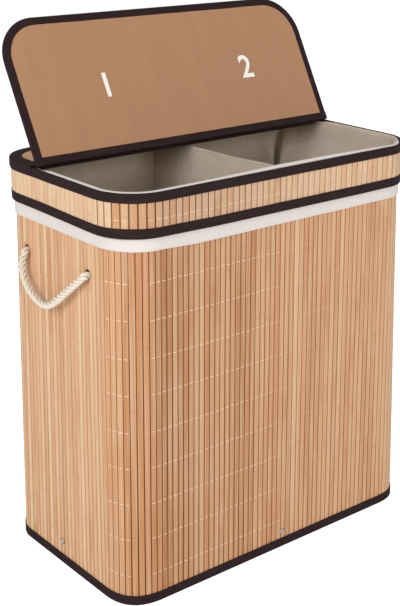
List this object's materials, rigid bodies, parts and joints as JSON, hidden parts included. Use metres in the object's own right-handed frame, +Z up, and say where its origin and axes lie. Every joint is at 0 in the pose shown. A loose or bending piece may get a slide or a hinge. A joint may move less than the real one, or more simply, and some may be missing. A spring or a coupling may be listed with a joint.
{
  "type": "laundry hamper with two bins",
  "caption": "Standing bamboo-slat laundry hamper with a divided liner, a lift-off lid with a front flap on a cloth hinge, and a rope handle on each side.",
  "frame": {"origin": "on the floor, at the middle of the foot", "axes": "+X along the wide side, to the right seen from the front; +Y from the front to the back; +Z up. The flap opens at the front and its free edge swings up and back"},
  "size_m": [0.6044, 0.3324, 0.7952],
  "materials": {
    "bamboo": "planed bamboo slats, clear satin",
    "backing": "thin woven backing cloth",
    "binding": "dark brown ribbed tape",
    "cuff": "off-white cotton cloth",
    "liner": "natural cotton and linen cloth",
    "lining": "light brown non-woven cloth",
    "board": "raw fibreboard",
    "rope": "three-strand twisted cotton rope",
    "steel": "nickel-plated, bright"
  },
  "bodies": {
    "body": {"slat_wall": "bamboo", "wall_backing": "backing", "wall_edge_tape": "binding", "bottom_binding": "binding", "base_cover": "binding", "base_board": "board", "base_tab_front": "binding", "base_tab_back": "binding", "base_tab_left": "binding", "base_tab_right": "binding", "base_rivet_front": "steel", "base_rivet_back": "steel", "base_rivet_left": "steel", "base_rivet_right": "steel", "liner_bag": "liner", "liner_cuff": "cuff", "liner_divider": "liner", "rope_end_left_front": "rope", "rope_end_left_back": "rope", "rope_end_right_front": "rope", "rope_end_right_back": "rope"},
    "handle_left": {"rope_handle_left": "rope"},
    "handle_right": {"rope_handle_right": "rope"},
    "lid": {"collar_slats": "bamboo", "collar_lining": "lining", "collar_top_binding": "binding", "collar_bottom_binding": "binding", "rear_panel_slats": "bamboo", "rear_panel_board": "board", "rear_panel_lining": "lining", "rear_panel_binding": "binding", "hinge_tape": "binding"},
    "flap": {"flap_slats": "bamboo", "flap_board": "board", "flap_lining": "lining", "flap_binding": "binding"}
  },
  "joints": [
    {"name": "lid_lift", "type": "slide", "parent": "body", "child": "lid", "axis": [0, 0, 1], "range_m": [0, 0.08]},
    {"name": "flap_hinge", "type": "hinge", "parent": "lid", "child": "flap", "pos_m": [0, 0.05, 0.6107], "axis": [-1, 0, 0], "range_deg": [-119, 49]},
    {"name": "handle_left_swing", "type": "hinge", "parent": "body", "child": "handle_left", "pos_m": [-0.28364, 0, 0.484], "axis": [0, 1, 0], "range_deg": [0, 150]},
    {"name": "handle_right_swing", "type": "hinge", "parent": "body", "child": "handle_right", "pos_m": [0.28364, 0, 0.484], "axis": [0, -1, 0], "range_deg": [0, 150]}
  ]
}
